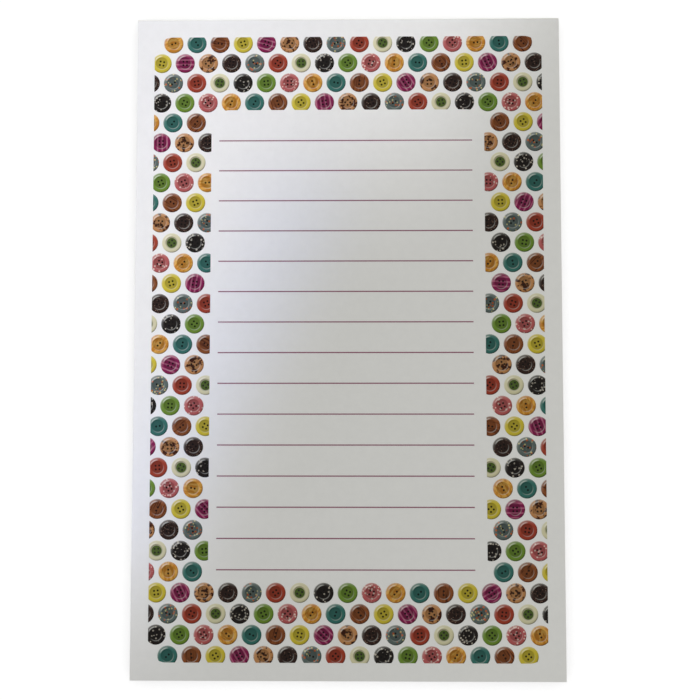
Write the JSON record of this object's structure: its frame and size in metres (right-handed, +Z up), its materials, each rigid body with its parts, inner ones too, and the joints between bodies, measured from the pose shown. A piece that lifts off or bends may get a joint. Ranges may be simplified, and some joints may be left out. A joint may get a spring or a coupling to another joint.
{
  "type": "notepad",
  "caption": "Gummed notepad of ruled sheets on a stiff board, with a border of printed coloured buttons round a plain writing panel, for notes and lists.",
  "frame": {"origin": "middle of the pad's footprint, on the surface that it lies on", "axes": "+X across the page to the reader's right, +Y up the page to the glued edge, +Z up out of the top sheet"},
  "size_m": [0.1396, 0.2162, 0.0058],
  "materials": {
    "board": "grey-brown chipboard with fine fibre flecks, matte",
    "paper": "white uncoated writing paper, matte",
    "glue": "dried white padding glue, brushed on, satin",
    "line_ink": "plum ink printed on paper, matte",
    "ink_red": "red ink printed on paper, matte",
    "ink_cream": "cream ink printed on paper, matte",
    "ink_black": "black ink printed on paper, matte",
    "ink_green": "green ink printed on paper, matte",
    "ink_pink": "pink ink printed on paper, matte",
    "ink_amber": "amber ink printed on paper, matte",
    "ink_teal": "teal ink printed on paper, matte",
    "ink_rust": "rust ink printed on paper, matte",
    "ink_yellow": "yellow ink printed on paper, matte",
    "ink_magenta": "magenta ink printed on paper, matte",
    "ink_tan": "tan ink printed on paper, matte",
    "ink_cocoa": "cocoa ink printed on paper, matte",
    "ink_slate": "slate ink printed on paper, matte"
  },
  "bodies": {
    "root": {"backing_board": "board", "page_block": "paper", "binding_glue": "glue", "ruled_lines": "line_ink", "dots_red": "ink_red", "dots_cream": "ink_cream", "dots_black": "ink_black", "dots_green": "ink_green", "dots_pink": "ink_pink", "dots_amber": "ink_amber", "dots_teal": "ink_teal", "dots_rust": "ink_rust", "dots_yellow": "ink_yellow", "dots_magenta": "ink_magenta", "dots_tan": "ink_tan", "dots_cocoa": "ink_cocoa", "dots_slate": "ink_slate"}
  },
  "joints": []
}
